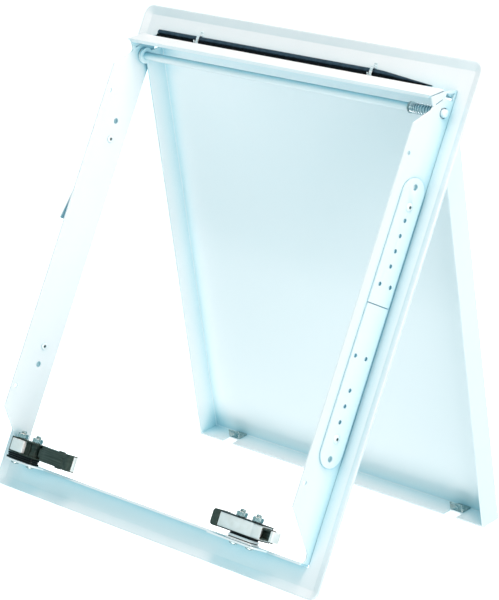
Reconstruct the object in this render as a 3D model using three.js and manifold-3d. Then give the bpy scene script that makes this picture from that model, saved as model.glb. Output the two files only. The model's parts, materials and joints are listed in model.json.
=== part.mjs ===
import * as THREE from 'three';
import { mergeVertices } from 'three/addons/utils/BufferGeometryUtils.js';
import Module from 'manifold-3d';

const wasm = await Module();
wasm.setup();

// Driving dimensions, in millimetres. The hatch is drawn in its own axes: x across it, y up the
// frame and z out of its back face. It is then leaned back into the pose it stands in.
const FRAME_W = 400;
const FRAME_H = 445;
const SHEET = 1.5;
const GAP = 0.3;
const CORNER_R = 1.5;
const RIM_W = 8;
const RIM_RISE = 2.5;
const SIDE_X = 179.5;
const SIDE_DEPTH = 38;
const BOTTOM_Y = -198.5;
const BOTTOM_DEPTH = 9;
const TAB_DEPTH = 24;
const OPENING_TOP = 191.4;
const PLATE_TOP = 196.3;
const ROD_Y = 175.4;
const ROD_Z = 8;
const ROD_R = 3.5;
const DOOR_W = 351;
const DOOR_LENGTH = 370.2;
const DOOR_DEPTH = 21;
const DOOR_TOP = 3;
const EAR_R = 7;
const LEAN = THREE.MathUtils.degToRad(24.6);
const ROUND = 28;

const PAINT = { color: 0xf2f7f9, roughness: 0.28, metalness: 0 };
const NICKEL = { color: 0xc9cac6, roughness: 0.32, metalness: 0.9 };
const ZINC = { color: 0xb4bcc0, roughness: 0.35, metalness: 0.9 };
const BLACK = { color: 0x14171a, roughness: 0.6, metalness: 0 };
const DARK = { color: 0x2c3532, roughness: 0.45, metalness: 0 };
const NYLON = { color: 0xe8ebea, roughness: 0.5, metalness: 0 };

const YZ = new THREE.Matrix4().makeBasis(
  new THREE.Vector3(0, 1, 0), new THREE.Vector3(0, 0, 1), new THREE.Vector3(1, 0, 0));
const XZ = new THREE.Matrix4().makeBasis(
  new THREE.Vector3(1, 0, 0), new THREE.Vector3(0, 0, 1), new THREE.Vector3(0, -1, 0));

const hatch = new THREE.Group();

function toManifold(geometry) {
  const bare = geometry.clone();
  bare.deleteAttribute('normal');
  bare.deleteAttribute('uv');
  const merged = mergeVertices(bare, 1e-4);
  return new wasm.Manifold(new wasm.Mesh({
    numProp: 3,
    vertProperties: new Float32Array(merged.attributes.position.array),
    triVerts: new Uint32Array(merged.index.array),
  }));
}

function toGeometry(manifold) {
  const mesh = manifold.getMesh();
  const geometry = new THREE.BufferGeometry();
  geometry.setAttribute('position', new THREE.BufferAttribute(new Float32Array(mesh.vertProperties), 3));
  geometry.setIndex(new THREE.BufferAttribute(new Uint32Array(mesh.triVerts), 1));
  return geometry;
}

function cut(geometry, ...tools) {
  return toGeometry(tools.reduce((rest, tool) => rest.subtract(toManifold(tool)), toManifold(geometry)));
}

function join(geometry, ...others) {
  return toGeometry(others.reduce((sum, other) => sum.add(toManifold(other)), toManifold(geometry)));
}

function common(geometry, other) {
  return toGeometry(toManifold(geometry).intersect(toManifold(other)));
}

function block(x0, x1, y0, y1, z0, z1) {
  const geometry = new THREE.BoxGeometry(x1 - x0, y1 - y0, z1 - z0);
  return geometry.translate((x0 + x1) / 2, (y0 + y1) / 2, (z0 + z1) / 2);
}

function polygon(points) {
  return new THREE.Shape(points.map(([a, b]) => new THREE.Vector2(a, b)));
}

function circleHole(a, b, r) {
  const path = new THREE.Path();
  path.absarc(a, b, r, 0, Math.PI * 2, true);
  return path;
}

function roundedRect(a0, a1, b0, b1, r) {
  const shape = new THREE.Shape();
  shape.moveTo(a0 + r, b0);
  shape.lineTo(a1 - r, b0);
  shape.absarc(a1 - r, b0 + r, r, -Math.PI / 2, 0, false);
  shape.lineTo(a1, b1 - r);
  shape.absarc(a1 - r, b1 - r, r, 0, Math.PI / 2, false);
  shape.lineTo(a0 + r, b1);
  shape.absarc(a0 + r, b1 - r, r, Math.PI / 2, Math.PI, false);
  shape.lineTo(a0, b0 + r);
  shape.absarc(a0 + r, b0 + r, r, Math.PI, Math.PI * 1.5, false);
  return shape;
}

function extrude(shape, depth, segments = 8) {
  return new THREE.ExtrudeGeometry(shape, { depth, bevelEnabled: false, curveSegments: segments });
}

function plateYZ(shape, x0, x1, segments = 8) {
  return extrude(shape, x1 - x0, segments).applyMatrix4(YZ).translate(x0, 0, 0);
}

function plateXZ(shape, y0, y1, segments = 8) {
  return extrude(shape, y1 - y0, segments).applyMatrix4(XZ).translate(0, y1, 0);
}

function plateXY(shape, z0, z1, segments = 8) {
  return extrude(shape, z1 - z0, segments).translate(0, 0, z0);
}

function rodAlongX(r, x0, x1, y, z, segments = ROUND) {
  const geometry = new THREE.CylinderGeometry(r, r, x1 - x0, segments);
  return geometry.rotateZ(-Math.PI / 2).translate((x0 + x1) / 2, y, z);
}

function rodAlongY(r, y0, y1, x, z, segments = ROUND) {
  return new THREE.CylinderGeometry(r, r, y1 - y0, segments).translate(x, (y0 + y1) / 2, z);
}

function turned(points, segments = ROUND) {
  return new THREE.LatheGeometry(points.map(([r, h]) => new THREE.Vector2(r, h)), segments);
}

function add(name, geometry, look) {
  const mesh = new THREE.Mesh(geometry, new THREE.MeshStandardMaterial(look));
  mesh.name = name;
  hatch.add(mesh);
}

// A folded sheet: a polyline in some plane given thickness to the left of its direction of travel.
function foldedSheet(points, thickness) {
  const corners = points.map(([a, b]) => new THREE.Vector2(a, b));
  const sides = corners.slice(1).map((end, i) => {
    const along = end.clone().sub(corners[i]).normalize();
    return new THREE.Vector2(-along.y, along.x);
  });
  const inner = corners.map((corner, i) => {
    const before = sides[Math.max(i - 1, 0)];
    const after = sides[Math.min(i, sides.length - 1)];
    const mitre = before.clone().add(after).normalize();
    return corner.clone().addScaledVector(mitre, thickness / mitre.dot(after));
  });
  return new THREE.Shape([...corners, ...inner.reverse()]);
}

// Flange ring: sheet with its outer rim turned towards the deck all the way round.
const floorHalfW = FRAME_W / 2 - RIM_W;
const floorHalfH = FRAME_H / 2 - RIM_W;
const floorShape = () => roundedRect(-floorHalfW, floorHalfW, -floorHalfH, floorHalfH, CORNER_R);
function flared(size, rise, depth, lift) {
  const bevel = { bevelEnabled: true, bevelThickness: rise, bevelSize: size, bevelSegments: 1 };
  const geometry = new THREE.ExtrudeGeometry(floorShape(), { depth, curveSegments: 6, ...bevel });
  return geometry.translate(0, 0, lift);
}
const flangeOuter = common(
  flared(RIM_W, RIM_RISE, SHEET + 1, RIM_RISE - SHEET),
  block(-FRAME_W, FRAME_W, -FRAME_H, FRAME_H, -10, RIM_RISE));
const sideGap = SIDE_X + GAP;
const betweenPlates = SIDE_X - SHEET - GAP;
add('flange_ring', cut(
  flangeOuter,
  flared(RIM_W - 1.3, RIM_RISE, 2, RIM_RISE),
  block(-sideGap, sideGap, BOTTOM_Y - GAP, OPENING_TOP, -10, 10),
  block(-sideGap, -betweenPlates, 0, PLATE_TOP + GAP, -10, 10),
  block(betweenPlates, sideGap, 0, PLATE_TOP + GAP, -10, 10)), PAINT);

// Side plates, each with its rod hole, anchor holes and the slot that the rail's tab is pushed into.
const ROD_HOLE_R = 4.6;
const PILOT_R = 1.8;
const PILOT_Y = 135.3;
const PILOT_Z = 33;
const STRAP_Z = 15.4;
const RIVET_R = 2;
const RIVET_Y = 95.5;
const OPEN_HOLE_Y = 112;
function sideProfile() {
  const shape = polygon([
    [-196.7, -SHEET], [PLATE_TOP, -SHEET], [PLATE_TOP, 1.6], [191.5, 14.9], [183.4, 27.6],
    [176.6, 21.6], [173.4, 22.8], [158.4, SIDE_DEPTH], [-155.6, SIDE_DEPTH], [-188.3, 5.4], [-193, 4.6],
    [-196.7, 7.2]]);
  shape.holes.push(circleHole(ROD_Y, ROD_Z, ROD_HOLE_R));
  for (const end of [-1, 1]) {
    shape.holes.push(circleHole(end * PILOT_Y, PILOT_Z, PILOT_R));
    shape.holes.push(circleHole(end * OPEN_HOLE_Y, STRAP_Z, 2.6));
    shape.holes.push(circleHole(end * RIVET_Y, STRAP_Z, RIVET_R + 0.1));
  }
  shape.holes.push(new THREE.Path([[187, 2.2], [187, 11.4], [191, 11.4], [193.8, 2.2]].map(
    ([a, b]) => new THREE.Vector2(a, b))));
  shape.holes.push(new THREE.Path([[179, 19.3], [179.5, 19.8], [185.4, 13.9], [184.9, 13.4]].map(
    ([a, b]) => new THREE.Vector2(a, b))));
  return shape;
}
add('side_plate_left', plateYZ(sideProfile(), -SIDE_X, -SIDE_X + SHEET), PAINT);
add('side_plate_right', plateYZ(sideProfile(), SIDE_X - SHEET, SIDE_X), PAINT);

// Cross rail: a strip over the tops of the side plates with a foot folded down between them. Its
// free edge is hemmed inside.
const railFoot = [190.8, GAP + 0.6];
const railFold = [193.4, 16];
const railEdge = [183.9, 30.5];
const hemStart = railFold.map((value, i) => THREE.MathUtils.lerp(value, railEdge[i], 0.5));
add('cross_rail', join(
  plateYZ(foldedSheet([railFold, railEdge], SHEET), -SIDE_X, SIDE_X),
  plateYZ(foldedSheet([railFoot, railFold, railEdge], SHEET), -betweenPlates, betweenPlates),
  plateYZ(foldedSheet([hemStart, railEdge], 2 * SHEET), -betweenPlates, betweenPlates)), PAINT);

// Bottom wall, shallow along its length and wider under each latch.
const LATCHES = [
  { name: 'left', screws: [-168, -148], base: [-174.5, -144], tab: [-177, -137] },
  { name: 'right', screws: [109.5, 128], base: [105.5, 132], tab: [80, 141] },
];
const SCREW_R = 2.5;
const SCREW_Z = 16;
const wallOutline = [[betweenPlates, -SHEET], [betweenPlates, BOTTOM_DEPTH]];
for (const { tab: [from, to] } of [...LATCHES].reverse()) {
  wallOutline.push([to, BOTTOM_DEPTH], [to - 5, TAB_DEPTH], [from + 5, TAB_DEPTH], [from, BOTTOM_DEPTH]);
}
wallOutline.push([-betweenPlates, BOTTOM_DEPTH], [-betweenPlates, -SHEET]);
const wallShape = polygon(wallOutline);
for (const { screws } of LATCHES) {
  for (const x of screws) {
    wallShape.holes.push(circleHole(x, SCREW_Z, SCREW_R + GAP));
  }
}
add('bottom_wall', plateXZ(wallShape, BOTTOM_Y, BOTTOM_Y + SHEET), PAINT);

// Anchor straps, riveted to the side plates near their outer ends and cut apart in the middle.
const STRAP_HALF_W = 12.5;
const STRAP_SPLIT = 14.4;
const STRAP_TOP = 119.5;
const STRAP_X = SIDE_X + GAP;
const BEND_Y = 88;
const BEND_OUT = Math.atan(0.215);
function strapShape(free, tip, holes) {
  const reach = Math.sign(tip - free);
  const shape = new THREE.Shape();
  const centre = tip - reach * STRAP_HALF_W;
  shape.moveTo(free, STRAP_Z - reach * STRAP_HALF_W);
  shape.lineTo(centre, STRAP_Z - reach * STRAP_HALF_W);
  const turn = reach > 0 ? 0 : Math.PI;
  shape.absarc(centre, STRAP_Z, STRAP_HALF_W, turn - Math.PI / 2, turn + Math.PI / 2, false);
  shape.lineTo(free, STRAP_Z + reach * STRAP_HALF_W);
  for (const [y, z, r] of holes) {
    shape.holes.push(circleHole(y, z, r));
  }
  return shape;
}
const upperHoles = [[OPEN_HOLE_Y, STRAP_Z, 2.6], [RIVET_Y, STRAP_Z, RIVET_R + 0.1]];
for (let i = 0; i < 4; i += 1) {
  upperHoles.push([84.5 - 12.6 * i, STRAP_Z, PILOT_R]);
}
upperHoles.push([31, STRAP_Z + 6, PILOT_R], [31, STRAP_Z - 7, PILOT_R]);
const lowerHoles = [[-OPEN_HOLE_Y, STRAP_Z, 2.6], [-RIVET_Y, STRAP_Z, RIVET_R + 0.1]];
for (let i = 0; i < 3; i += 1) {
  lowerHoles.push([-56 - 13 * i, STRAP_Z + 2, PILOT_R]);
}
lowerHoles.push([-28.5, STRAP_Z + 8, PILOT_R], [-28.5, STRAP_Z - 5, PILOT_R]);
const upperStrap = (x0, x1) => plateYZ(strapShape(STRAP_SPLIT + 0.4, STRAP_TOP, upperHoles), x0, x1, 10);
const lowerStrap = (x0, x1) => plateYZ(strapShape(STRAP_SPLIT - 0.4, -STRAP_TOP, lowerHoles), x0, x1, 10);
add('anchor_right_upper', upperStrap(STRAP_X, STRAP_X + SHEET), PAINT);
add('anchor_right_lower', lowerStrap(STRAP_X, STRAP_X + SHEET), PAINT);
add('anchor_left_lower', lowerStrap(-STRAP_X - SHEET, -STRAP_X), PAINT);
const flatStrap = upperStrap(-STRAP_X - SHEET, -STRAP_X);
const heel = common(flatStrap, block(-300, 0, BEND_Y, 300, -20, 60));
const wing = common(flatStrap, block(-300, 0, -300, BEND_Y + 0.4, -20, 60));
wing.translate(STRAP_X, -BEND_Y, 0).rotateZ(-BEND_OUT).translate(-STRAP_X, BEND_Y, 0);
add('anchor_left_upper', join(heel, wing), PAINT);

// Rivets: a low dome outside, a shank through both sheets and a flat head inside.
const rivetReach = 2 * SHEET + GAP;
for (const [sideName, side] of [['left', -1], ['right', 1]]) {
  for (const [endName, end] of [['lower', -1], ['upper', 1]]) {
    const rivet = turned([
      [0, -0.9 - GAP], [3.2, -0.9 - GAP], [3.4, -0.6 - GAP], [3.4, -GAP], [RIVET_R, -GAP],
      [RIVET_R, rivetReach + GAP], [3.6, rivetReach + GAP], [3.2, rivetReach + 0.9],
      [1.8, rivetReach + 1.3], [0, rivetReach + 1.4]], 20);
    rivet.rotateZ(-side * Math.PI / 2).translate(side * (SIDE_X - SHEET), end * RIVET_Y, STRAP_Z);
    add(`rivet_${sideName}_${endName}`, rivet, PAINT);
  }
}

// Rubber seal lying behind the rail, held by two small clips on the flange.
const sealOutline = [[-176, 191.6], [92, 191.6], [153, 196.8], [96, 202], [-176, 202]];
add('rail_seal', plateXY(polygon(sealOutline), GAP, 2.4), BLACK);
for (const [name, x] of [['left', -123], ['right', 86]]) {
  const strap = foldedSheet([[194.6, 2.8], [202.4, 2.8], [202.4, GAP]], 0.8);
  const hook = plateYZ(strap, x - 3.5, x + 3.5);
  const foot = block(x - 3.5, x + 3.5, 202.3, 206.9, GAP, 1.1);
  const stud = rodAlongX(1.4, x - 3, x + 3, 205, 1.6, 16);
  add(`seal_clip_${name}`, join(hook, foot, stud), ZINC);
}

// Hinge rod, its retaining ring and the spring that keeps it seated.
const ROD_LEFT = -184;
const ROD_RIGHT = 183;
const rod = turned([
  [0, ROD_LEFT], [2.4, ROD_LEFT], [ROD_R, ROD_LEFT + 1.4], [ROD_R, ROD_RIGHT - 1.6],
  [2.6, ROD_RIGHT - 0.4], [0, ROD_RIGHT]]).rotateZ(-Math.PI / 2).translate(0, ROD_Y, ROD_Z);
add('hinge_rod', rod, PAINT);
const RING_X = 144;
const ringShape = new THREE.Shape().absarc(ROD_Y, ROD_Z, 5, 0, Math.PI * 2, false);
ringShape.holes.push(circleHole(ROD_Y, ROD_Z, ROD_R + 0.05));
add('rod_ring', plateYZ(ringShape, RING_X, RING_X + 1.2, ROUND / 2), ZINC);
const WIRE_R = 0.6;
const COIL_R = 4.25;
const COILS = 10.5;
const springLeft = RING_X + 1.2 + WIRE_R + 0.1;
const springRight = DOOR_W / 2 - SHEET - WIRE_R - 0.1;
const coilPoints = [];
const coilSteps = Math.round(COILS * 10);
for (let i = 0; i <= coilSteps; i += 1) {
  const turn = (i / coilSteps) * COILS * Math.PI * 2;
  const x = THREE.MathUtils.lerp(springLeft, springRight, i / coilSteps);
  coilPoints.push(new THREE.Vector3(x, ROD_Y + COIL_R * Math.cos(turn), ROD_Z + COIL_R * Math.sin(turn)));
}
const wire = new THREE.Shape().absarc(0, 0, WIRE_R, 0, Math.PI * 2, false);
add('rod_spring', new THREE.ExtrudeGeometry(wire, {
  steps: coilSteps, extrudePath: new THREE.CatmullRomCurve3(coilPoints), curveSegments: 3 }), ZINC);

// Touch latches on the bottom wall, each on a base and held by two M5 screws.
const BASE_Y = BOTTOM_Y + SHEET + GAP;
const BASE_H = 5.4;
const BODY_Y = BASE_Y + BASE_H + GAP;
const BODY_TOP = BODY_Y + 13.2;
const BODY_Z0 = 9.5;
const BODY_Z1 = 22.5;
const NUT_Y = BODY_TOP + GAP;
const NUT_FLATS = 8;
const NUT_H = 4;
const boltHole = (x) => rodAlongY(SCREW_R + GAP, BODY_Y - 1, BODY_TOP + 1, x, SCREW_Z, 20);
for (const { name, screws, base: [from, to] } of LATCHES) {
  const plate = roundedRect(from, to, 11, 21, 2.5);
  for (const x of screws) {
    plate.holes.push(circleHole(x, SCREW_Z, SCREW_R + GAP));
  }
  add(`latch_${name}_base`, plateXZ(plate, BASE_Y, BASE_Y + BASE_H, 5), BLACK);
  screws.forEach((x, i) => {
    const head = BOTTOM_Y - GAP;
    const screw = turned([
      [0, head - 1.7], [2.2, head - 1.6], [3.3, head - 1.2], [3.7, head - 0.5], [3.7, head],
      [SCREW_R, head], [SCREW_R, NUT_Y + 5.6], [SCREW_R - 0.7, NUT_Y + 6.3], [0, NUT_Y + 6.3]], 20);
    add(`latch_${name}_screw_${i + 1}`, screw.translate(x, 0, SCREW_Z), ZINC);
    const corner = NUT_FLATS / Math.sqrt(3);
    const flats = new THREE.CylinderGeometry(corner, corner, NUT_H, 6).rotateY(Math.PI / 6);
    flats.translate(x, NUT_Y + NUT_H / 2, SCREW_Z);
    const bore = rodAlongY(SCREW_R + 0.05, NUT_Y - 1, NUT_Y + NUT_H + 1, x, SCREW_Z, 20);
    add(`latch_${name}_nut_${i + 1}`, cut(flats, bore), ZINC);
  });
}

// Right latch: a screwed-down body, and a plunger with a small head that is sprung out of it.
const PLUNGER_Y = [BODY_Y + 2, BODY_Y + 11];
const PLUNGER_Z = [12.5, 21.5];
add('latch_right_body', cut(
  block(91.8, 141, BODY_Y, BODY_TOP, BODY_Z0, BODY_Z1),
  boltHole(109.5),
  boltHole(128),
  block(131.2, 150, PLUNGER_Y[0] - GAP, PLUNGER_Y[1] + GAP, PLUNGER_Z[0] - GAP, PLUNGER_Z[1] + GAP)), NICKEL);
add('latch_right_cap', block(83.8, 91.5, BODY_Y - 0.3, BODY_TOP + 0.3, BODY_Z0 - 0.3, BODY_Z1 + 0.3), DARK);
add('latch_right_catch', join(
  block(150, 153.2, BODY_Y + 1.5, BODY_Y + 11.5, 12.2, 21.8),
  block(137.8, 150.5, ...PLUNGER_Y, ...PLUNGER_Z)), NICKEL);

// Left latch: a screwed-down channel with a block in it, and an arm that is sprung out of it.
add('latch_left_housing', cut(
  block(-173.8, -139.5, BODY_Y, BODY_TOP, BODY_Z0, BODY_Z1),
  block(-172.6, -130, BODY_Y + 0.9, BODY_TOP - 0.9, BODY_Z0 + 1.5, 30),
  boltHole(-168),
  boltHole(-148)), DARK);
add('latch_left_block', cut(
  block(-172.3, -156.6, BODY_Y + 1.2, BODY_TOP - 1.2, BODY_Z0 + 1.8, BODY_Z1 + 0.8),
  boltHole(-168)), NICKEL);
add('latch_left_arm', join(
  block(-134.9, -104.3, BODY_Y, BODY_TOP, BODY_Z0 + 2, BODY_Z1 - 2),
  block(-138.9, -134, BODY_Y + 2.6, BODY_TOP - 2.6, BODY_Z0 + 3.4, BODY_Z1 - 3.4)), DARK);
add('latch_left_cap', block(-104, -98, BODY_Y - 0.5, BODY_TOP + 0.5, BODY_Z0 + 1.6, BODY_Z1 - 1.6), DARK);

// Door pan, drawn in its closed place: u runs down it from the hinge rod, v out through the panel.
const doorFoot = ROD_Y - DOOR_LENGTH;
const panelZ = ROD_Z - DOOR_DEPTH;
const halfDoor = DOOR_W / 2;
const NOTCHES = [[-145.5, -132.5], [130.3, 144.6]];
const NOTCH_DEPTH = 8.5;
const panShell = cut(
  block(-halfDoor, halfDoor, doorFoot, ROD_Y + DOOR_TOP, panelZ, ROD_Z),
  block(-halfDoor + SHEET, halfDoor - SHEET, doorFoot + SHEET, ROD_Y + 40, panelZ + SHEET, ROD_Z + 5),
  ...NOTCHES.map(([x0, x1]) => block(x0, x1, doorFoot - 5, doorFoot + 5, ROD_Z - NOTCH_DEPTH, ROD_Z + 5)));
const ears = [-1, 1].map((side) => rodAlongX(
  EAR_R, side * (halfDoor - SHEET / 2) - SHEET / 2, side * (halfDoor - SHEET / 2) + SHEET / 2, ROD_Y, ROD_Z));
const doorPan = cut(join(panShell, ...ears), rodAlongX(ROD_R + 0.08, -300, 300, ROD_Y, ROD_Z));
const doorNodes = [['door_pan', doorPan, PAINT]];
for (const [i, [x0, x1]] of NOTCHES.entries()) {
  const strike = foldedSheet([
    [doorFoot + 8.5, ROD_Z - NOTCH_DEPTH - GAP], [doorFoot + SHEET + GAP, ROD_Z - NOTCH_DEPTH - GAP],
    [doorFoot + SHEET + GAP, panelZ + SHEET + GAP]], 1);
  doorNodes.push([`strike_${['left', 'right'][i]}`, plateYZ(strike, x0, x1), ZINC]);
}
const bushShape = new THREE.Shape().absarc(ROD_Y, ROD_Z, 6.5, 0, Math.PI * 2, false);
bushShape.holes.push(circleHole(ROD_Y, ROD_Z, ROD_R + 0.08));
doorNodes.push(['door_bush_left', plateYZ(bushShape, -halfDoor - 2.1, -halfDoor - GAP, ROUND / 2), NYLON]);
doorNodes.push(['door_bush_right', plateYZ(bushShape, halfDoor + GAP, halfDoor + 2.1, ROUND / 2), NYLON]);

// The door stands open far enough for its foot to reach the surface that the flange stands on.
const footHeight = -FRAME_H / 2 * Math.cos(LEAN) + (RIM_RISE - SHEET) * Math.sin(LEAN);
const rodHeight = ROD_Y * Math.cos(LEAN) + ROD_Z * Math.sin(LEAN) - footHeight;
const OPENED = LEAN + Math.acos(rodHeight / DOOR_LENGTH);
for (const [name, geometry, look] of doorNodes) {
  geometry.translate(0, -ROD_Y, -ROD_Z).rotateX(OPENED).translate(0, ROD_Y, ROD_Z);
  add(name, geometry, look);
}

// Lean the hatch back onto its foot, and centre it over the origin.
const toStanding = new THREE.Matrix4().makeRotationX(Math.PI / 2 - LEAN);
for (const mesh of hatch.children) {
  mesh.geometry.applyMatrix4(toStanding);
}
const bounds = new THREE.Box3().setFromObject(hatch);
const centre = bounds.getCenter(new THREE.Vector3());
for (const mesh of hatch.children) {
  mesh.geometry.translate(0, -centre.y, -bounds.min.z);
}

export default hatch;
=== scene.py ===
import json
import math

import bmesh
import bpy
from mathutils import Matrix, Vector


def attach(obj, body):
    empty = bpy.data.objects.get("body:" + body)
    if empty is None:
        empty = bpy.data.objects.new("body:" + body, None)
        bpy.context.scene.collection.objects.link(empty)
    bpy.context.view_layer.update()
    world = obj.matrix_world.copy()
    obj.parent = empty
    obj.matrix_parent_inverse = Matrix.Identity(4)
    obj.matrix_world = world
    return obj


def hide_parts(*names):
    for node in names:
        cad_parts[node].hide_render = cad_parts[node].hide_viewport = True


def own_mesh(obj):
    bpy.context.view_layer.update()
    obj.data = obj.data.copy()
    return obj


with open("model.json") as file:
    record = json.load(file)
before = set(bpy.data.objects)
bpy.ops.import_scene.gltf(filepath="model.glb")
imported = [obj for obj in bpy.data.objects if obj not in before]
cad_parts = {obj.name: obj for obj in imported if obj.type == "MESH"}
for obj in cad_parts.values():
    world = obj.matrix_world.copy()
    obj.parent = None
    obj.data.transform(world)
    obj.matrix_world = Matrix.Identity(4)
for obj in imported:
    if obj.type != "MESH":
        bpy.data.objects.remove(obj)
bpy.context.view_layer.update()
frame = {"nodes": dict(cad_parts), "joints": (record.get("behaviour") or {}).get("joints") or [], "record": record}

NODES = frame["nodes"]
MM = 0.001

# ---------------------------------------------------------------- the hatch's own axes, in mm

X_AXIS = Vector((1, 0, 0))
Y_AXIS = Vector((0, 1, 0))
MOUNT = next(m for m in frame["record"]["mounts"] if m["name"] == "flange_back")
HINGE = next(j for j in frame["joints"] if j["name"] == "door_hinge")
OUT = Vector(MOUNT["axis"]).normalized()
UP = OUT.cross(X_AXIS)
LEAN = math.asin(OUT.z)
DOOR_LENGTH = 370.2
SHEET = 1.5
SIDES = ("left", "right")


def placement(x_axis, y_axis, z_axis, origin):
    """Takes millimetres in those axes to metres in the row frame."""
    turn = Matrix((x_axis, y_axis, z_axis)).transposed().to_4x4()
    return Matrix.Translation(origin) @ turn @ Matrix.Scale(MM, 4)


def frame_placement():
    """x across the hatch, y up the frame, z out of its back face."""
    origin = Vector(MOUNT["pos_m"])
    origin.x = 0
    return placement(X_AXIS, UP, OUT, origin)


def door_placement():
    """x across the hatch, y down the door from the rod, z out through its panel."""
    rod = Vector(HINGE["pos_m"])
    opened = LEAN + math.acos(rod.z / (DOOR_LENGTH * MM))
    down = -math.cos(opened) * UP - math.sin(opened) * OUT
    through = math.sin(opened) * UP - math.cos(opened) * OUT
    return placement(X_AXIS, down, through, rod)


STANDING = frame_placement()
OPENED = door_placement()


def local_box(node, place=STANDING):
    """A CAD node's lowest and highest corner in the axes of place, in millimetres."""
    inverse = place.inverted()
    points = [inverse @ v.co for v in NODES[node].data.vertices]
    low = Vector([min(p[i] for p in points) for i in range(3)])
    high = Vector([max(p[i] for p in points) for i in range(3)])
    return low, high


# ---------------------------------------------------------------- materials

class Finish:
    """A procedural material: one Principled shader with plain values, and textures in object space."""

    def __init__(self, name, **sockets):
        self.made = bpy.data.materials.new(name)
        self.made.use_nodes = True
        self.tree = self.made.node_tree
        self.shader = self.tree.nodes["Principled BSDF"]
        for socket, value in sockets.items():
            self.shader.inputs[socket.replace("_", " ")].default_value = value
        self.position = self.add("ShaderNodeTexCoord").outputs["Object"]

    def add(self, kind, links=None, **settings):
        node = self.tree.nodes.new(kind)
        for key, value in settings.items():
            setattr(node, key, value)
        for socket, source in (links or {}).items():
            self.set(node.inputs[socket], source)
        return node

    def set(self, socket, source):
        if isinstance(source, bpy.types.NodeSocket):
            self.tree.links.new(source, socket)
        else:
            socket.default_value = source

    def noise(self, scale, detail=2.0, stretch=(1, 1, 1)):
        """Noise in about 1/scale metre patches, longer where stretch is small."""
        mapping = self.add("ShaderNodeMapping", {"Vector": self.position, "Scale": stretch})
        texture = self.add("ShaderNodeTexNoise", {
            "Vector": mapping.outputs["Vector"], "Scale": scale, "Detail": detail})
        return texture.outputs["Fac"]

    def ramp(self, value, *stops):
        """A colour ramp of (position, colour) stops."""
        node = self.add("ShaderNodeValToRGB", {"Fac": value})
        elements = node.color_ramp.elements
        while len(elements) < len(stops):
            elements.new(0.5)
        for element, (position, colour) in zip(elements, stops):
            element.position = position
            element.color = (*colour, 1)
        return node.outputs["Color"]

    def spread(self, value, low, high):
        """value's middle range, taken to low...high."""
        node = self.add("ShaderNodeMapRange", {
            "Value": value, "From Min": 0.3, "From Max": 0.7, "To Min": low, "To Max": high})
        return node.outputs["Result"]

    def colour(self, source):
        self.set(self.shader.inputs["Base Color"], source)

    def roughness(self, source):
        self.set(self.shader.inputs["Roughness"], source)

    def bump(self, height, strength, distance):
        last = self.shader.inputs["Normal"].links
        links = {"Height": height, "Strength": strength, "Distance": distance}
        if last:
            links["Normal"] = last[0].from_socket
        node = self.add("ShaderNodeBump", links)
        self.set(self.shader.inputs["Normal"], node.outputs["Normal"])


# How far the painted shade in white_paint looks for nearby surfaces, in metres.
PAINTED_SHADE_REACH = 0.028
BRUSHED = (0.04, 1, 1)


def white_paint():
    """Gloss powder coat: a faint orange peel, a slow drift of tint and painted shade: teal darkening in folds and
    corners.
    """
    finish = Finish("white_paint", Coat_Weight=0.25, Coat_Roughness=0.14)
    drift = finish.noise(5, 1)
    paint = finish.ramp(drift, (0.2, (0.875, 0.893, 0.900)), (0.8, (0.905, 0.917, 0.921)))
    # Painted shade: ambient occlusion darkens the base colour towards teal in folds, corners, recesses and under
    # parts.
    painted_shade_ao = finish.add("ShaderNodeAmbientOcclusion", {"Distance": PAINTED_SHADE_REACH}, samples=12)
    tint = finish.ramp(
        painted_shade_ao.outputs["AO"], (0.10, (0.10, 0.33, 0.45)), (0.40, (0.42, 0.74, 0.83)),
        (0.62, (0.80, 0.94, 0.97)), (0.85, (1, 1, 1)))
    shaded_paint = finish.add(
        "ShaderNodeMixRGB", {"Fac": 1.0, "Color1": paint, "Color2": tint}, blend_type="MULTIPLY")
    finish.colour(shaded_paint.outputs["Color"])
    finish.roughness(finish.spread(finish.noise(25, 1), 0.30, 0.34))
    finish.bump(finish.noise(420, 2), 0.03, 0.0003)
    finish.bump(finish.noise(2600, 1), 0.03, 0.0001)
    return finish.made


def brushed(name, dark, light, rough, metal):
    """Metal brushed along x: fine lines in colour, roughness and height."""
    finish = Finish(name, Metallic=metal)
    lines = finish.noise(900, 3, BRUSHED)
    finish.colour(finish.ramp(lines, (0.3, dark), (0.7, light)))
    finish.roughness(finish.spread(lines, rough - 0.07, rough + 0.1))
    finish.bump(lines, 0.12, 0.0001)
    return finish.made


def nickel():
    """Satin nickel, warm and softly clouded, with brushing along x."""
    finish = Finish("nickel", Metallic=0.25)
    lines = finish.noise(900, 3, BRUSHED)
    cloud = finish.noise(150, 3)
    finish.colour(finish.ramp(cloud, (0.3, (0.84, 0.82, 0.78)), (0.7, (0.93, 0.92, 0.90))))
    finish.roughness(finish.spread(lines, 0.30, 0.46))
    finish.bump(lines, 0.10, 0.0001)
    return finish.made


def zinc():
    """Zinc plate: a blotchy, slightly green grey."""
    finish = Finish("zinc_steel", Metallic=0.95)
    blotch = finish.noise(520, 4)
    finish.colour(finish.ramp(blotch, (0.3, (0.30, 0.37, 0.36)), (0.7, (0.66, 0.73, 0.72))))
    finish.roughness(finish.spread(finish.noise(900, 2), 0.16, 0.34))
    finish.bump(blotch, 0.08, 0.0001)
    return finish.made


def spring_steel():
    """Bright drawn wire."""
    finish = Finish("spring_steel", Metallic=1.0)
    streak = finish.noise(1500, 2)
    finish.colour(finish.ramp(streak, (0.3, (0.62, 0.68, 0.70)), (0.7, (0.88, 0.91, 0.92))))
    finish.roughness(finish.spread(streak, 0.12, 0.22))
    return finish.made


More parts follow.
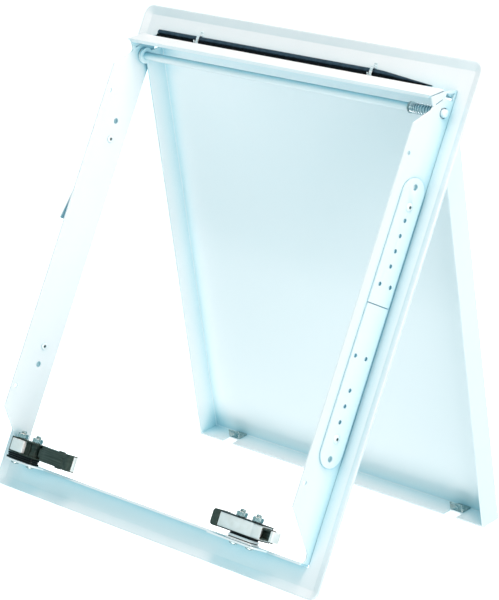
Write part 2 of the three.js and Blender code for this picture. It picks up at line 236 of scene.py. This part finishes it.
def moulded(name, dark, light, rough, specular):
    """Moulded plastic or rubber with a fine grain."""
    finish = Finish(name, Specular_IOR_Level=specular)
    finish.colour(finish.ramp(finish.noise(300, 3), (0.3, dark), (0.7, light)))
    speck = finish.noise(1400, 2)
    finish.roughness(finish.spread(speck, rough - 0.07, rough + 0.08))
    finish.bump(speck, 0.25, 0.0001)
    return finish.made


LOOKS = {
    "white_paint": white_paint(),
    "nickel": nickel(),
    "zinc_steel": zinc(),
    "spring_steel": spring_steel(),
    "bright_zinc": brushed("bright_zinc", (0.60, 0.70, 0.72), (0.90, 0.95, 0.96), 0.28, 0.35),
    "dark_steel": brushed("dark_steel", (0.035, 0.045, 0.036), (0.085, 0.105, 0.085), 0.36, 0.6),
    "dark_plastic": moulded("dark_plastic", (0.022, 0.034, 0.026), (0.050, 0.070, 0.055), 0.45, 0.3),
    "black_plastic": moulded("black_plastic", (0.002, 0.003, 0.003), (0.006, 0.007, 0.007), 0.35, 0.2),
    "black_rubber": moulded("black_rubber", (0.001, 0.002, 0.003), (0.004, 0.006, 0.008), 0.5, 0.04),
    "grey_rubber": moulded("grey_rubber", (0.012, 0.028, 0.045), (0.030, 0.060, 0.090), 0.45, 0.2),
    "nylon": moulded("nylon", (0.74, 0.77, 0.77), (0.82, 0.84, 0.84), 0.45, 0.5),
}


# ---------------------------------------------------------------- drawing meshes, in millimetres

def skin(shape, rows, wrap=False):
    """Joins rows of points, each row a closed loop, and closes both ends unless the rows wrap round."""
    loops = [[shape.verts.new(point) for point in row] for row in rows]
    for low, high in zip(loops, loops[1:] + loops[:1] if wrap else loops[1:]):
        for i in range(len(low)):
            j = (i + 1) % len(low)
            shape.faces.new((low[i], low[j], high[j], high[i]))
    if not wrap:
        shape.faces.new(loops[0][::-1])
        shape.faces.new(loops[-1])


def circle(centre, axis, radius, count):
    """Points round an axis; radius is a number or a function of the angle."""
    across = axis.orthogonal().normalized()
    over = axis.cross(across)
    points = []
    for i in range(count):
        angle = 2 * math.pi * i / count
        reach = radius(angle) if callable(radius) else radius
        points.append(centre + reach * (math.cos(angle) * across + math.sin(angle) * over))
    return points


def turn(shape, axis, centre, profile, count=48, wrap=False):
    """Turns (radius, height) pairs about axis through centre."""
    axis = Vector(axis)
    centre = Vector(centre)
    skin(shape, [circle(centre + axis * height, axis, radius, count) for radius, height in profile], wrap)


def tube(shape, path, radius, count=12):
    """A round wire along a path of points."""
    path = [Vector(point) for point in path]
    across = (path[1] - path[0]).orthogonal().normalized()
    rows = []
    for i, point in enumerate(path):
        along = (path[min(i + 1, len(path) - 1)] - path[max(i - 1, 0)]).normalized()
        across = (across - along * across.dot(along)).normalized()
        over = along.cross(across)
        rows.append([point + radius * (math.cos(a) * across + math.sin(a) * over)
                     for a in (2 * math.pi * k / count for k in range(count))])
    skin(shape, rows)


def prism_x(shape, low, high, outline):
    """An outline in y and z, drawn out along x."""
    skin(shape, [[Vector((x, y, z)) for y, z in outline] for x in (low, high)])


def prism_y(shape, low, high, outline):
    """An outline in x and z, drawn out along y."""
    skin(shape, [[Vector((x, y, z)) for x, z in outline] for y in (low, high)])


def block(shape, low, high):
    """A box between two corners."""
    (x0, y0, z0), (x1, y1, z1) = low, high
    prism_x(shape, x0, x1, [(y0, z0), (y1, z0), (y1, z1), (y0, z1)])


def rounded(x0, x1, z0, z1, radius, steps=5):
    """A rectangle's outline with round corners."""
    outline = []
    corners = [(x1 - radius, z0 + radius, -90), (x1 - radius, z1 - radius, 0),
               (x0 + radius, z1 - radius, 90), (x0 + radius, z0 + radius, 180)]
    for cx, cz, start in corners:
        for k in range(steps + 1):
            angle = math.radians(start + 90 * k / steps)
            outline.append((cx + radius * math.cos(angle), cz + radius * math.sin(angle)))
    return outline


def sheet_outline(points, thickness):
    """A folded sheet's outline: a line given thickness to the left of its direction."""
    line = [Vector(p) for p in points]
    sides = []
    for start, end in zip(line, line[1:]):
        along = (end - start).normalized()
        sides.append(Vector((-along.y, along.x)))
    inner = []
    for i, corner in enumerate(line):
        mitre = (sides[max(i - 1, 0)] + sides[min(i, len(sides) - 1)]).normalized()
        inner.append(corner + mitre * thickness / mitre.dot(sides[min(i, len(sides) - 1)]))
    return [tuple(p) for p in line + inner[::-1]]


def soften(shape, radius, steps=2, least=25):
    """Rounds every edge that is sharper than least degrees."""
    bmesh.ops.recalc_face_normals(shape, faces=shape.faces)
    sharp = [e for e in shape.edges if e.calc_face_angle(0) > math.radians(least)]
    bmesh.ops.bevel(
        shape, geom=sharp, offset=radius, segments=steps, profile=0.5, affect="EDGES", clamp_overlap=True)


def merge(shape, other):
    """Adds another shape's mesh to shape."""
    part = bpy.data.meshes.new("part")
    other.to_mesh(part)
    shape.from_mesh(part)
    other.free()
    bpy.data.meshes.remove(part)


def show(name, shape, body, slot, nodes, place=STANDING, smooth=32, look=None):
    """Puts a finished shape in the scene as a piece that moves with body and stands for nodes."""
    bmesh.ops.recalc_face_normals(shape, faces=shape.faces)
    shape.transform(place)
    mesh = bpy.data.meshes.new(name)
    shape.to_mesh(mesh)
    shape.free()
    mesh.polygons.foreach_set("use_smooth", [True] * len(mesh.polygons))
    mesh.set_sharp_from_angle(angle=math.radians(smooth))
    mesh.materials.append(LOOKS[look or slot])
    made = bpy.data.objects.new(name, mesh)
    bpy.context.scene.collection.objects.link(made)
    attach(made, body)
    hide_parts(*nodes)
    return made


# ---------------------------------------------------------------- CAD nodes that stay

def round_edges(thing, edge, least):
    """Rounds every edge that is sharper than least degrees by edge millimetres."""
    bevel = thing.modifiers.new("edge", "BEVEL")
    bevel.width = edge * MM
    bevel.segments = 2
    bevel.limit_method = "ANGLE"
    bevel.angle_limit = math.radians(least)
    bevel.harden_normals = True
    bevel.use_clamp_overlap = True


def refine(thing, edge):
    """Welds a carried-over solid, clears its flat faces of triangles and rounds its edges."""
    weld = thing.modifiers.new("weld", "WELD")
    weld.merge_threshold = 0.00001
    flat = thing.modifiers.new("flat", "DECIMATE")
    flat.decimate_type = "DISSOLVE"
    flat.angle_limit = math.radians(0.5)
    round_edges(thing, edge, 32)


def dress(node, slot):
    """Gives a CAD node its slot's look."""
    thing = NODES[node]
    thing.data.materials.clear()
    thing.data.materials.append(LOOKS[slot])


for row in frame["record"]["subparts"]:
    dress(row["node"], row["material_slot"])
for node in ("side_plate_left", "side_plate_right", "bottom_wall",
             "anchor_left_upper", "anchor_left_lower", "anchor_right_upper", "anchor_right_lower"):
    refine(NODES[node], 0.35)


# ---------------------------------------------------------------- folded sheet, with round folds

def near(value, target, within=0.06):
    """Whether a length is within so many millimetres of another."""
    return abs(value - target) < within


def folded(node, body, place, folds, edge=0.35):
    """A copy of a CAD sheet with its folds rounded. Each fold is a test on a point and a radius."""
    shape = bmesh.new()
    shape.from_mesh(NODES[node].data)
    shape.transform(place.inverted())
    bmesh.ops.remove_doubles(shape, verts=shape.verts, dist=0.006)
    bmesh.ops.dissolve_limit(shape, angle_limit=math.radians(0.6), verts=shape.verts, edges=shape.edges)
    for test, radius in folds:
        picked = [e for e in shape.edges
                  if all(test(*v.co) for v in e.verts) and e.calc_face_angle(0) > 0.1]
        bmesh.ops.bevel(shape, geom=picked, offset=radius, segments=4, profile=0.5, affect="EDGES",
                        clamp_overlap=True)
    made = show(node + "_sheet", shape, body, "white_paint", [node], place, smooth=24)
    round_edges(made, edge, 50)


DOOR_HIGH = local_box("door_pan", OPENED)[1]
DOOR_HALF = DOOR_HIGH.x
DOOR_DEPTH = DOOR_HIGH.z
folded("door_pan", "door", OPENED, [
    (lambda x, y, z: near(z, DOOR_DEPTH) and (near(abs(x), DOOR_HALF) or near(y, DOOR_LENGTH)), 2.4),
    (lambda x, y, z: near(z, DOOR_DEPTH - SHEET)
     and (near(abs(x), DOOR_HALF - SHEET) or near(y, DOOR_LENGTH - SHEET)), 1.0)])

FLANGE_HIGH = local_box("flange_ring")[1]
FLANGE_RIM = 8
FLANGE_CORNER = 5.2
FOLD_X = FLANGE_HIGH.x - FLANGE_RIM
FOLD_Y = FLANGE_HIGH.y - FLANGE_RIM


def on_fold(x, y, z):
    """Whether a point lies where the flange's rim folds up."""
    at_corner = abs(x) > FOLD_X - FLANGE_CORNER and abs(y) > FOLD_Y - FLANGE_CORNER
    return near(z, 0) and (at_corner or near(abs(x), FOLD_X, 1.4) or near(abs(y), FOLD_Y, 1.4))


folded("flange_ring", "frame", STANDING, [
    (on_fold, 2.2),
    (lambda x, y, z: near(z, FLANGE_HIGH.z), 0.45)], edge=0.3)

RAIL_HIGH = local_box("cross_rail")[1]
folded("cross_rail", "frame", STANDING, [
    (lambda x, y, z: near(y, RAIL_HIGH.y, 0.2), 1.8)], edge=0.5)


# ---------------------------------------------------------------- hinge rod, ring and spring

ROD_LOW, ROD_HIGH = local_box("hinge_rod")
ROD = Vector((0, (ROD_LOW.y + ROD_HIGH.y) / 2, (ROD_LOW.z + ROD_HIGH.z) / 2))
ROD_R = (ROD_HIGH.y - ROD_LOW.y) / 2
RING_LOW, RING_HIGH = local_box("rod_ring")


def hinge_rod():
    """A bar with rounded ends and a shallow groove that the ring sits in."""
    shape = bmesh.new()
    groove = 0.3
    rounding = [(2.4, 0), (1.2, 0.15), (0.45, 0.6), (0, 1.5)]
    profile = [(ROD_R - depth, ROD_LOW.x + inward) for depth, inward in rounding]
    for x, depth in [(RING_LOW.x - 0.25, 0), (RING_LOW.x - 0.1, groove),
                     (RING_HIGH.x + 0.1, groove), (RING_HIGH.x + 0.25, 0)]:
        profile.append((ROD_R - depth, x))
    profile += [(ROD_R - depth, ROD_HIGH.x - inward) for depth, inward in rounding[::-1]]
    turn(shape, X_AXIS, ROD, profile, 56)
    show("hinge_rod_bar", shape, "rod", "white_paint", ["hinge_rod"])


def rod_ring():
    """A sprung retaining clip with an open mouth."""
    shape = bmesh.new()
    mouth = 38
    steps = 40
    outline = []
    for reach, narrowing, order in [(4.95, 0, range(steps + 1)), (3.55, 4, range(steps, -1, -1))]:
        start = mouth + narrowing
        for k in order:
            angle = math.radians(start + (360 - 2 * start) * k / steps - 90)
            outline.append((ROD.y + reach * math.cos(angle), ROD.z + reach * math.sin(angle)))
    prism_x(shape, RING_LOW.x, RING_HIGH.x, outline)
    soften(shape, 0.18)
    show("rod_ring_clip", shape, "rod", "zinc_steel", ["rod_ring"])


def rod_spring():
    """A compression spring with its end coils closed up."""
    shape = bmesh.new()
    wire = 0.56
    coil = 4.25
    clear = 0.15
    turns = 13
    closing = 0.45
    left = RING_HIGH.x + wire + clear
    right = DOOR_HALF - SHEET - wire - clear
    path = []
    for k in range(turns * 20 + 1):
        t = k / (turns * 20)
        along = t - math.sin(2 * math.pi * t) / (2 * math.pi) * closing
        angle = turns * 2 * math.pi * t
        path.append((
            left + (right - left) * along, ROD.y + coil * math.cos(angle), ROD.z + coil * math.sin(angle)))
    tube(shape, path, wire)
    made = show("rod_spring_wire", shape, "frame", "spring_steel", ["rod_spring"])
    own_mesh(made)


hinge_rod()
rod_ring()
rod_spring()


# ---------------------------------------------------------------- rivets and bushes

def rivet(side_name, end_name):
    """A blind rivet: a domed flange outside, a pressed-out head inside and its steel pin's stub, near-black so
    that the bore reads as painted shade.
    """
    node = f"rivet_{side_name}_{end_name}"
    low, high = local_box(node)
    side = -1 if side_name == "left" else 1
    axis = X_AXIS * side
    centre = Vector((0, (low.y + high.y) / 2, (low.z + high.z) / 2))
    inner, outer = (low.x, high.x) if side > 0 else (-high.x, -low.x)
    shape = bmesh.new()
    turn(shape, axis, centre, [
        (1.35, inner + 0.9), (1.35, inner + 0.15), (1.7, inner), (2.7, inner + 0.1), (3.25, inner + 0.45),
        (3.4, inner + 0.95), (2.05, inner + 1.0), (2.05, outer - 1.5), (3.6, outer - 1.45), (3.55, outer - 1.1),
        (3.0, outer - 0.5), (2.3, outer - 0.12), (1.7, outer), (1.35, outer - 0.15), (1.35, outer - 0.9)], 36)
    show(node + "_body", shape, "frame", "white_paint", [node])
    # The pin's stub is a real part, and its near-black steel also paints the shade down the rivet's bore.
    pin = bmesh.new()
    turn(pin, axis, centre, [
        (0.5, inner + 0.55), (1.05, inner + 0.6), (1.3, inner + 0.8), (1.3, outer - 0.8), (1.05, outer - 0.6),
        (0.5, outer - 0.55)], 28)
    show(node + "_pin", pin, "frame", "dark_steel", [node])


def bush(side_name):
    """A nylon bush with chamfered ends and a chamfered bore."""
    node = f"door_bush_{side_name}"
    low, high = local_box(node, OPENED)
    shape = bmesh.new()
    bore = ROD_R + 0.1
    wide = (high.y - low.y) / 2
    chamfer = 0.3
    turn(shape, X_AXIS, (0, (low.y + high.y) / 2, (low.z + high.z) / 2), [
        (bore + chamfer, low.x), (wide - chamfer, low.x), (wide, low.x + chamfer), (wide, high.x - chamfer),
        (wide - chamfer, high.x), (bore + chamfer, high.x), (bore, high.x - chamfer), (bore, low.x + chamfer)],
         48, wrap=True)
    show(node + "_ring", shape, "door", "nylon", [node], OPENED)


for side_name in SIDES:
    bush(side_name)
    for end_name in ("lower", "upper"):
        rivet(side_name, end_name)


# ---------------------------------------------------------------- seal and its clips

def seal():
    """A rubber strip that tapers away to the right: a bulb below and a thin raised lip above."""
    low, high = local_box("rail_seal")
    stations = [
        (low.x, 1), (low.x + 1.2, 1), (88, 1), (98, 0.93), (118, 0.6), (138, 0.27), (high.x - 0.4, 0.03)]
    tip = 196.8
    foot = 0.35
    bulb = [(191.8, 0.4), (191.7, 1.2), (192.1, 2.1), (193.0, 2.6), (195.2, 2.7), (197.2, 2.5), (198.0, 1.8),
            (198.0, 0.4)]
    lip = [(198.3, 0.4), (198.3, 1.9), (198.9, 2.5), (200.6, 2.3), (201.7, 1.4), (201.9, 0.7), (201.8, 0.4)]
    for name, outline, look in [
            ("rail_seal_bulb", bulb, "black_rubber"), ("rail_seal_lip", lip, "grey_rubber")]:
        shape = bmesh.new()
        rows = []
        for x, size in stations:
            rows.append([
                Vector((x, tip + (y - tip) * size, foot + (z - foot) * max(size, 0.3))) for y, z in outline])
        skin(shape, rows)
        show(name, shape, "frame", "black_rubber", ["rail_seal"], smooth=50, look=look)


def clip(side_name):
    """A little folded clip: a foot on the flange, a strap over the seal and two splayed prongs."""
    node = f"seal_clip_{side_name}"
    low, high = local_box(node)
    middle = (low.x + high.x) / 2
    shape = bmesh.new()
    over = sheet_outline([(194.4, 1.6), (195.4, 3.9), (203.0, 3.9), (203.0, 0.45), (206.8, 0.45)][::-1], 0.7)
    prism_x(shape, middle - 1.5, middle + 1.5, over)
    for side in (-1, 1):
        part = bmesh.new()
        prism_y(part, 0, 0.8, [(0, 0), (1.5, 0), (1.1, 4.4), (0.4, 4.4)])
        lean = Matrix.Rotation(math.radians(-58), 4, "X") @ Matrix.Rotation(math.radians(22 * side), 4, "Z")
        part.transform(Matrix.Translation((middle + side * 1.9 - 0.75, 193.6, 3.4)) @ lean)
        merge(shape, part)
    soften(shape, 0.16)
    show(node + "_fold", shape, "frame", "zinc_steel", [node], look="bright_zinc")


seal()
for side_name in SIDES:
    clip(side_name)


# ---------------------------------------------------------------- strikes

def strike(side_name):
    """A bent tab behind the notch in the door's foot."""
    node = f"strike_{side_name}"
    low, high = local_box(node, OPENED)
    shape = bmesh.new()
    line = [(low.y, low.z), (high.y, low.z), (high.y, high.z)]
    prism_x(shape, low.x, high.x, sheet_outline([Vector(p) for p in line], 1))
    soften(shape, 0.3, 3)
    show(node + "_tab", shape, "door", "zinc_steel", [node], OPENED)


for side_name in SIDES:
    strike(side_name)


# ---------------------------------------------------------------- screws and nuts

THREAD_R = 2.5
PITCH = 0.8


def hexagon(apothem, cap=99):
    """A hexagon's reach at an angle, no further than cap."""
    def reach(angle):
        within = (angle + math.pi / 6) % (math.pi / 3) - math.pi / 6
        return min(apothem / math.cos(within), cap)
    return reach


def nut(node):
    """A hexagon nut, its corners chamfered top and bottom and its bore countersunk."""
    low, high = local_box(node)
    centre = Vector(((low.x + high.x) / 2, 0, (low.z + high.z) / 2))
    flat = min(high.x - low.x, high.z - low.z) / 2
    bore = THREAD_R + 0.08
    rise = high.y - low.y
    shape = bmesh.new()
    rows = []
    stack = [(bore, 0.35), (bore + 0.35, 0), (hexagon(flat, flat * 0.98), 0)]
    stack += [(hexagon(flat, flat + 0.30), 0.18), (hexagon(flat), 0.55)]
    for reach, height in stack + [(reach, rise - height) for reach, height in stack[::-1]]:
        rows.append(circle(centre + Y_AXIS * (low.y + height), Y_AXIS, reach, 60))
    skin(shape, rows, wrap=True)
    show(node + "_hex", shape, "frame", "zinc_steel", [node], smooth=20)


def thread(height, fade):
    """A thread's reach round the shank at a height above its start."""
    def reach(angle):
        wave = abs((height / PITCH - angle / (2 * math.pi)) % 1 - 0.5) * 2
        return THREAD_R - 0.42 * fade * wave
    return reach


def screw(node):
    """A pan-head screw with a cross recess painted on its head as a dark cross of shade, and a thread where it
    stands out of its nut.
    """
    low, high = local_box(node)
    centre = Vector(((low.x + high.x) / 2, 0, (low.z + high.z) / 2))
    head = (high.x - low.x) / 2
    seat = low.y + 1.7
    start = high.y - 7
    step = 0.1
    stack = [
        (1.2, low.y + 0.02), (2.2, low.y + 0.1), (3.1, low.y + 0.45), (head - 0.12, low.y + 0.95),
        (head, seat - 0.4), (head - 0.1, seat), (THREAD_R, seat + 0.02), (THREAD_R, start - 0.2)]
    for k in range(int((high.y - start - 0.5) / step) + 1):
        y = start + k * step
        stack.append((thread(y - start, min(1, k / 6)), y))
    stack += [(THREAD_R - 0.6, high.y - 0.25), (THREAD_R - 1.0, high.y)]
    rows = [circle(centre + Y_AXIS * y, Y_AXIS, reach, 32) for reach, y in stack]
    shape = bmesh.new()
    skin(shape, rows)
    # Painted shade: the recess is not cut, and a thin dark cross on the head stands for the shade inside it.
    cross = bmesh.new()
    for wide, tall in ((1.8, 0.42), (0.42, 1.8)):
        block(cross, (centre.x - wide, low.y - 0.02, centre.z - tall),
              (centre.x + wide, low.y + 0.3, centre.z + tall))
    show(node + "_thread", shape, "frame", "zinc_steel", [node], smooth=28)
    show(node + "_painted_recess", cross, "frame", "dark_steel", [node])


for side_name in SIDES:
    for i in (1, 2):
        nut(f"latch_{side_name}_nut_{i}")
        screw(f"latch_{side_name}_screw_{i}")


# ---------------------------------------------------------------- touch latches

def bar(low, high, radius, steps=2):
    """A box with rounded edges."""
    shape = bmesh.new()
    block(shape, low, high)
    soften(shape, radius, steps)
    return shape


def plates(name, node, layers):
    """Flat plates with round corners, one above another."""
    low, high = local_box(node)
    for i, (start, end, grow, slot) in enumerate(layers):
        shape = bmesh.new()
        prism_y(shape, low.y + start, low.y + end,
                rounded(low.x - grow, high.x + grow, low.z - grow, high.z + grow, 2.5))
        soften(shape, 0.22)
        show(f"{name}_{i + 1}", shape, "frame", slot, [node])


def right_latch():
    """A satin body in a thin dark case, with a dark end cap and a sprung tongue."""
    plates("latch_right_spacer", "latch_right_base", [
        (0.0, 1.5, 1.5, "nylon"), (1.6, 2.2, 0.4, "black_plastic"), (2.3, 4.2, 0.6, "nylon"),
        (4.3, 5.4, 0.0, "black_plastic")])
    low, high = local_box("latch_right_body")
    cap_low, cap_high = local_box("latch_right_cap")
    catch_low, catch_high = local_box("latch_right_catch")
    wall = 0.75
    front = high.z + 0.35
    case = bar(low, (high.x, low.y + wall, front), 0.2)
    merge(case, bar((low.x, high.y - wall, low.z), (high.x, high.y, front), 0.2))
    merge(case, bar(low, (high.x, high.y, low.z + wall), 0.2))
    show("latch_right_case", case, "frame", "black_plastic", ["latch_right_body"])

    mouth = catch_high.x - 21.8
    cheek = high.x - 0.3
    face = bmesh.new()
    block(face, (low.x + 0.4, low.y + wall, low.z + wall), (mouth, high.y - wall, high.z))
    soften(face, 0.45, 3)
    for y0, y1 in ((low.y + wall, catch_low.y + 0.1), (catch_high.y - 0.1, high.y - wall)):
        merge(face, bar((mouth - 1, y0, low.z + wall), (cheek, y1, high.z), 0.2))
    merge(face, bar((mouth - 1, low.y + wall, 21.9), (cheek, high.y - wall, high.z), 0.2))
    show("latch_right_block", face, "frame", "nickel", ["latch_right_body"])

    cap = bmesh.new()
    outline = [
        (cap_low.x + 2.0, cap_low.y), (cap_high.x, cap_low.y), (cap_high.x, cap_high.y),
        (cap_low.x + 1.6, cap_high.y), (cap_low.x + 0.4, cap_high.y - 1.2), (cap_low.x, cap_high.y - 2.6),
        (cap_low.x, cap_low.y + 2.6), (cap_low.x + 0.6, cap_low.y + 0.9)]
    skin(cap, [[Vector((x, y, z)) for x, y in outline] for z in (cap_low.z, cap_high.z)])
    soften(cap, 0.5, 3)
    show("latch_right_cap_end", cap, "frame", "dark_plastic", ["latch_right_cap"])

    low, high = catch_low, catch_high
    root = 137.8
    back = 12.5
    tongue = bar((root, low.y + 0.5, back), (150.2, high.y - 0.5, 17.5), 0.3)
    for y in (low.y + 0.5, high.y - 1.7):
        merge(tongue, bar((root, y, back), (151.2, y + 1.2, 21.4), 0.25))
    for y in (low.y + 0.35, high.y - 0.35):
        pin = bmesh.new()
        turn(pin, Y_AXIS, (151.4, y, 19), [(0.9, -0.75), (1.4, -0.5), (1.4, 0.5), (0.9, 0.75)], 20)
        merge(tongue, pin)
    show("latch_right_tongue", tongue, "right_catch", "dark_steel", ["latch_right_catch"])
    head = bar((150, low.y + 0.5, low.z), (high.x, high.y - 0.5, high.z), 0.7, 3)
    show("latch_right_head", head, "right_catch", "nickel", ["latch_right_catch"])


def left_latch():
    """A dark channel on a black stack, with a satin block, a ribbed recess and a sprung arm."""
    plates("latch_left_spacer", "latch_left_base", [
        (0.0, 1.8, 1.2, "black_plastic"), (2.0, 3.4, 0.5, "black_plastic"), (3.6, 5.4, 0.9, "black_plastic")])
    low, high = local_box("latch_left_housing")
    lip = 0.9
    back = low.z + 1.5
    shell = bar(low, (high.x, low.y + lip, high.z), 0.2)
    merge(shell, bar((low.x, high.y - lip, low.z), high, 0.2))
    merge(shell, bar(low, (high.x, high.y, back), 0.2))
    merge(shell, bar(low, (low.x + 1.2, high.y, high.z), 0.2))
    for k in range(4):
        x = -155.9 + 1.55 * k
        merge(shell, bar((x, low.y + lip, back), (x + 0.85, high.y - lip, 20.4), 0.25))
    collar = bmesh.new()
    turn(collar, Y_AXIS, (-148, 0, 16), [
        (3.2, low.y + lip), (3.8, low.y + lip + 0.4), (3.8, low.y + 4.6), (3.3, low.y + 5.0),
        (3.3, high.y - 5.0), (3.8, high.y - 4.6), (3.8, high.y - lip - 0.4), (3.2, high.y - lip)], 32)
    merge(shell, collar)
    show("latch_left_channel", shell, "frame", "dark_plastic", ["latch_left_housing"])
    low, high = local_box("latch_left_block")
    show("latch_left_block_face", bar(low, high, 0.7, 3), "frame", "nickel", ["latch_left_block"])

    low, high = local_box("latch_left_arm")
    start = -134.9
    arm = bar((start, low.y, low.z), high, 0.5, 3)
    merge(arm, bar((low.x, low.y + 2.6, low.z + 1.4), (start + 1, high.y - 2.6, high.z - 1.4), 0.4))
    for y0, y1 in ((high.y - 0.6, high.y + 1.1), (low.y - 1.0, low.y + 0.6)):
        for x0, x1 in ((high.x - 9.5, high.x - 7.9), (high.x - 6.6, high.x - 4.6)):
            merge(arm, bar((x0, y0, high.z - 4.5), (x1, y1, high.z - 0.4), 0.25))
    merge(arm, bar((start + 3.5, low.y + 1.5, high.z - 0.4), (high.x - 2.5, high.y - 1.5, high.z + 0.35), 0.3))
    show("latch_left_arm_bar", arm, "left_arm", "dark_steel", ["latch_left_arm"])
    low, high = local_box("latch_left_cap")
    end = bar(low, (high.x - 0.2, high.y, high.z), 0.45, 3)
    show("latch_left_cap_end", end, "left_arm", "dark_plastic", ["latch_left_cap"])
    plate = bar((high.x - 0.9, low.y + 0.8, low.z + 0.3), (high.x, high.y - 0.8, low.z + 4.6), 0.3)
    show("latch_left_cap_plate", plate, "left_arm", "nickel", ["latch_left_cap"])


right_latch()
left_latch()


# ---------------------------------------------------------------- stage, camera and light

def floor():
    """A plain pale floor, wide enough to fill any view."""
    mesh = bpy.data.meshes.new("floor")
    half = 14
    corners = [(-half, -half, 0), (half, -half, 0), (half, half, 0), (-half, half, 0)]
    mesh.from_pydata(corners, [], [(0, 1, 2, 3)])
    made = bpy.data.objects.new("floor", mesh)
    bpy.context.scene.collection.objects.link(made)
    made.location.z = -0.0004
    finish = Finish("floor_paper", Roughness=0.9)
    finish.colour((0.95, 0.96, 0.96, 1))
    finish.set(finish.shader.inputs["Emission Color"], (0.93, 0.97, 0.98, 1))
    finish.set(finish.shader.inputs["Emission Strength"], 0.8)
    mesh.materials.append(finish.made)
    made.visible_diffuse = False
    made.visible_glossy = False
    made.visible_shadow = False


def turn_to(made, toward):
    """Turns a camera or a light so that its back points toward a direction."""
    made.rotation_mode = "QUATERNION"
    made.rotation_quaternion = toward.to_track_quat("Z", "Y")
    bpy.context.scene.collection.objects.link(made)


def camera():
    """The photograph's viewing angle: azimuth 46 degrees, 15 degrees above the horizon, from 2.3 m."""
    azimuth = math.radians(46.32)
    elevation = math.radians(15.34)
    distance = 2.3076
    aim = Vector((0.0036, 0.0016, 0.1847))
    back = Vector((
        math.sin(azimuth) * math.cos(elevation), -math.cos(azimuth) * math.cos(elevation), math.sin(elevation)))
    data = bpy.data.cameras.new("camera")
    data.sensor_fit = "VERTICAL"
    data.sensor_height = 36
    data.sensor_width = 36
    data.lens = 164.33
    data.shift_x = -0.0042
    made = bpy.data.objects.new("camera", data)
    made.location = aim + back * distance
    turn_to(made, back)
    bpy.context.scene.camera = made


def softbox(name, direction, distance, size, power, colour):
    """A soft light that looks at the middle of the hatch."""
    data = bpy.data.lights.new(name, "AREA")
    data.shape = "RECTANGLE"
    data.size, data.size_y = size
    data.energy = power
    data.color = colour
    made = bpy.data.objects.new(name, data)
    toward = Vector(direction).normalized()
    made.location = Vector((0, 0, 0.2)) + toward * distance
    turn_to(made, toward)


def surroundings():
    """A soft studio: a dim teal below, palest just over the horizon, light blue above."""
    world = bpy.data.worlds.new("studio")
    bpy.context.scene.world = world
    world.use_nodes = True
    tree = world.node_tree
    background = tree.nodes["Background"]
    where = tree.nodes.new("ShaderNodeTexCoord")
    parts = tree.nodes.new("ShaderNodeSeparateXYZ")
    ramp = tree.nodes.new("ShaderNodeValToRGB")
    lift = tree.nodes.new("ShaderNodeMapRange")
    tree.links.new(where.outputs["Generated"], parts.inputs[0])
    tree.links.new(parts.outputs["Z"], lift.inputs["Value"])
    lift.inputs["From Min"].default_value = -1
    tree.links.new(lift.outputs["Result"], ramp.inputs["Fac"])
    tree.links.new(ramp.outputs["Color"], background.inputs["Color"])
    stops = [
        (0.0, (0.10, 0.40, 0.50)), (0.25, (0.20, 0.50, 0.60)), (0.42, (0.42, 0.72, 0.80)),
        (0.52, (0.56, 0.84, 0.90)), (0.65, (0.48, 0.80, 0.88)), (1.0, (0.40, 0.74, 0.84))]
    elements = ramp.color_ramp.elements
    while len(elements) < len(stops):
        elements.new(0.5)
    for element, (position, colour) in zip(elements, stops):
        element.position = position
        element.color = (*colour, 1)
    background.inputs["Strength"].default_value = 0.8


LIGHTS = [
    ("overhead", (0.30, -0.12, 1.0), 1.7, (1.0, 0.8), 25, (1.0, 0.66, 0.56)),
    ("side", (1.0, -0.30, 0.05), 1.9, (1.0, 1.0), 13, (1.0, 0.93, 0.90)),
    ("bounce", (0.10, -0.50, -0.85), 2.0, (1.6, 1.2), 33, (1.0, 0.90, 0.86)),
    ("back", (0.55, 1.0, 0.35), 2.0, (1.4, 1.2), 17, (1.0, 0.90, 0.86)),
]
floor()
camera()
surroundings()
for light in LIGHTS:
    softbox(*light)
bpy.context.scene.view_settings.view_transform = "Standard"
bpy.context.scene.view_settings.look = "None"
